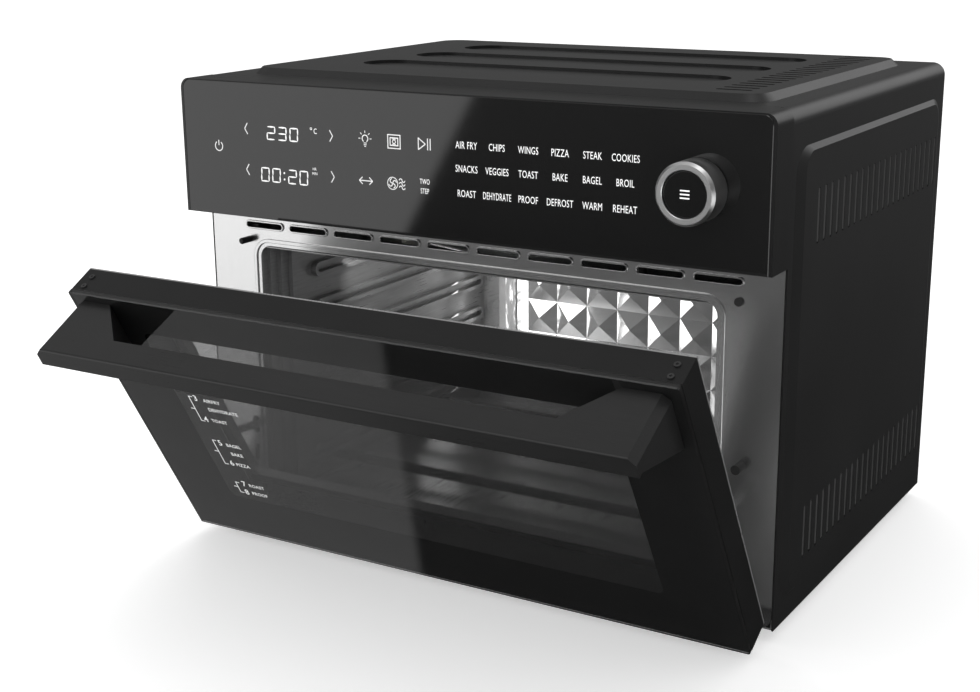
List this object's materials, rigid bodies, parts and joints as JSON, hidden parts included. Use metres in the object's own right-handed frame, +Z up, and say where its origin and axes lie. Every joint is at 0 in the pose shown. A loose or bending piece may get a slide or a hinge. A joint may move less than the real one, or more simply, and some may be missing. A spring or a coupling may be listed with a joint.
{
  "type": "toaster oven",
  "caption": "Countertop convection toaster oven with drop-down smoked glass door, full-width handle, touch panel, turning dial and louvred steel case.",
  "frame": {"origin": "on the surface the oven stands on, under the middle of its whole bounding box with the door ajar", "axes": "+Z up, -Y towards the user (the door side), +X to the user's right"},
  "size_m": [0.4912, 0.5537, 0.3743],
  "materials": {
    "case_paint": "black satin powder coat, fine texture",
    "galvanised": "plain galvanised sheet",
    "front_steel": "polished stainless, vertical grain",
    "cavity_steel": "satin aluminised liner",
    "mirror_steel": "bright stamped reflector",
    "black_plastic": "fine grained black moulding",
    "housing_plastic": "satin black panel housing",
    "panel_glass": "black printed touch glass",
    "door_glass": "smoked toughened glass with a black border",
    "inner_glass": "clear heat glass",
    "handle_finish": "satin black handle",
    "rubber": "soft black rubber",
    "silicone": "dark silicone",
    "element_steel": "heat-tinted sheath",
    "ceramic": "unglazed white ceramic",
    "screw_steel": "blackened screws",
    "pin_steel": "turned steel",
    "board": "circuit board",
    "electronics": "potted electronic parts",
    "lamp_glass": "frosted lamp glass",
    "motor_metal": "pressed motor can",
    "fan_metal": "stamped fan",
    "dial_chrome": "dark brushed chrome",
    "dial_black": "black button face"
  },
  "bodies": {
    "case": {"outer_cover": "case_paint", "base_pan": "galvanised", "rear_cover": "case_paint", "cable_inlet": "black_plastic", "rear_spacers": "black_plastic", "rubber_feet": "rubber", "front_plate": "front_steel", "door_bumpers": "silicone", "hinge_brackets": "galvanised", "cavity_left_wall": "cavity_steel", "left_rack_rails": "cavity_steel", "cavity_right_wall": "cavity_steel", "right_rack_rails": "cavity_steel", "cavity_rear_wall": "mirror_steel", "corner_reflector": "mirror_steel", "cavity_roof": "cavity_steel", "fan_grille": "cavity_steel", "cavity_floor": "cavity_steel", "crumb_tray": "cavity_steel", "upper_heating_elements": "element_steel", "lower_heating_elements": "element_steel", "element_insulators": "ceramic", "lamp_lens": "lamp_glass", "lamp_holder": "ceramic", "lamp_bulb": "lamp_glass", "temperature_probe": "pin_steel", "thermal_cutout": "ceramic", "fan_shroud": "galvanised", "motor_bracket": "galvanised", "fan_motor": "motor_metal", "control_housing": "housing_plastic", "control_glass": "panel_glass", "control_boards": "board", "display_module": "electronics", "touch_sensors": "electronics", "encoder_body": "electronics", "power_board": "electronics", "door_switch_body": "black_plastic", "case_screws": "screw_steel"},
    "door": {"door_glass_outer": "door_glass", "door_top_rail": "black_plastic", "door_bottom_rail": "black_plastic", "hinge_pins": "pin_steel", "door_left_stile": "black_plastic", "door_right_stile": "black_plastic", "door_liner": "cavity_steel", "door_glass_inner": "inner_glass", "glass_gasket": "silicone", "door_handle": "handle_finish", "handle_screws": "screw_steel", "door_screws": "screw_steel"},
    "left_stay": {"left_stay_arm": "pin_steel"},
    "right_stay": {"right_stay_arm": "pin_steel"},
    "dial": {"dial_ring": "dial_chrome", "dial_shaft": "pin_steel"},
    "menu_button": {"menu_button": "dial_black"},
    "door_switch": {"switch_plunger": "black_plastic"},
    "fan": {"fan_shaft": "pin_steel", "fan_wheel": "fan_metal", "cooling_blade": "fan_metal"}
  },
  "joints": [
    {"name": "door_hinge", "type": "hinge", "parent": "case", "child": "door", "pos_m": [0, -0.1047, 0.014], "axis": [1, 0, 0], "range_deg": [-29.7, 45.3]},
    {"name": "left_stay_pivot", "type": "hinge", "parent": "door", "child": "left_stay", "pos_m": [-0.2045, -0.12194, 0.09569], "axis": [1, 0, 0], "range_deg": [-22.8, 15]},
    {"name": "right_stay_pivot", "type": "hinge", "parent": "door", "child": "right_stay", "pos_m": [0.2045, -0.12194, 0.09569], "axis": [1, 0, 0], "range_deg": [-22.8, 15]},
    {"name": "dial_turn", "type": "hinge", "parent": "case", "child": "dial", "pos_m": [0.1905, -0.1114, 0.318], "axis": [0, -1, 0], "continuous": true},
    {"name": "menu_press", "type": "slide", "parent": "case", "child": "menu_button", "axis": [0, 1, 0], "range_m": [0, 0.0012], "stiffness_N_per_m": 900},
    {"name": "switch_press", "type": "slide", "parent": "case", "child": "door_switch", "axis": [0, 1, 0], "range_m": [0, 0.003], "stiffness_N_per_m": 400},
    {"name": "fan_spin", "type": "hinge", "parent": "case", "child": "fan", "pos_m": [0, 0.0946, 0.27], "axis": [0, 0, 1], "continuous": true}
  ],
  "couplings": [
    {"joint": "left_stay_pivot", "follows": "door_hinge", "ratio": -0.5},
    {"joint": "right_stay_pivot", "follows": "door_hinge", "ratio": -0.5}
  ]
}
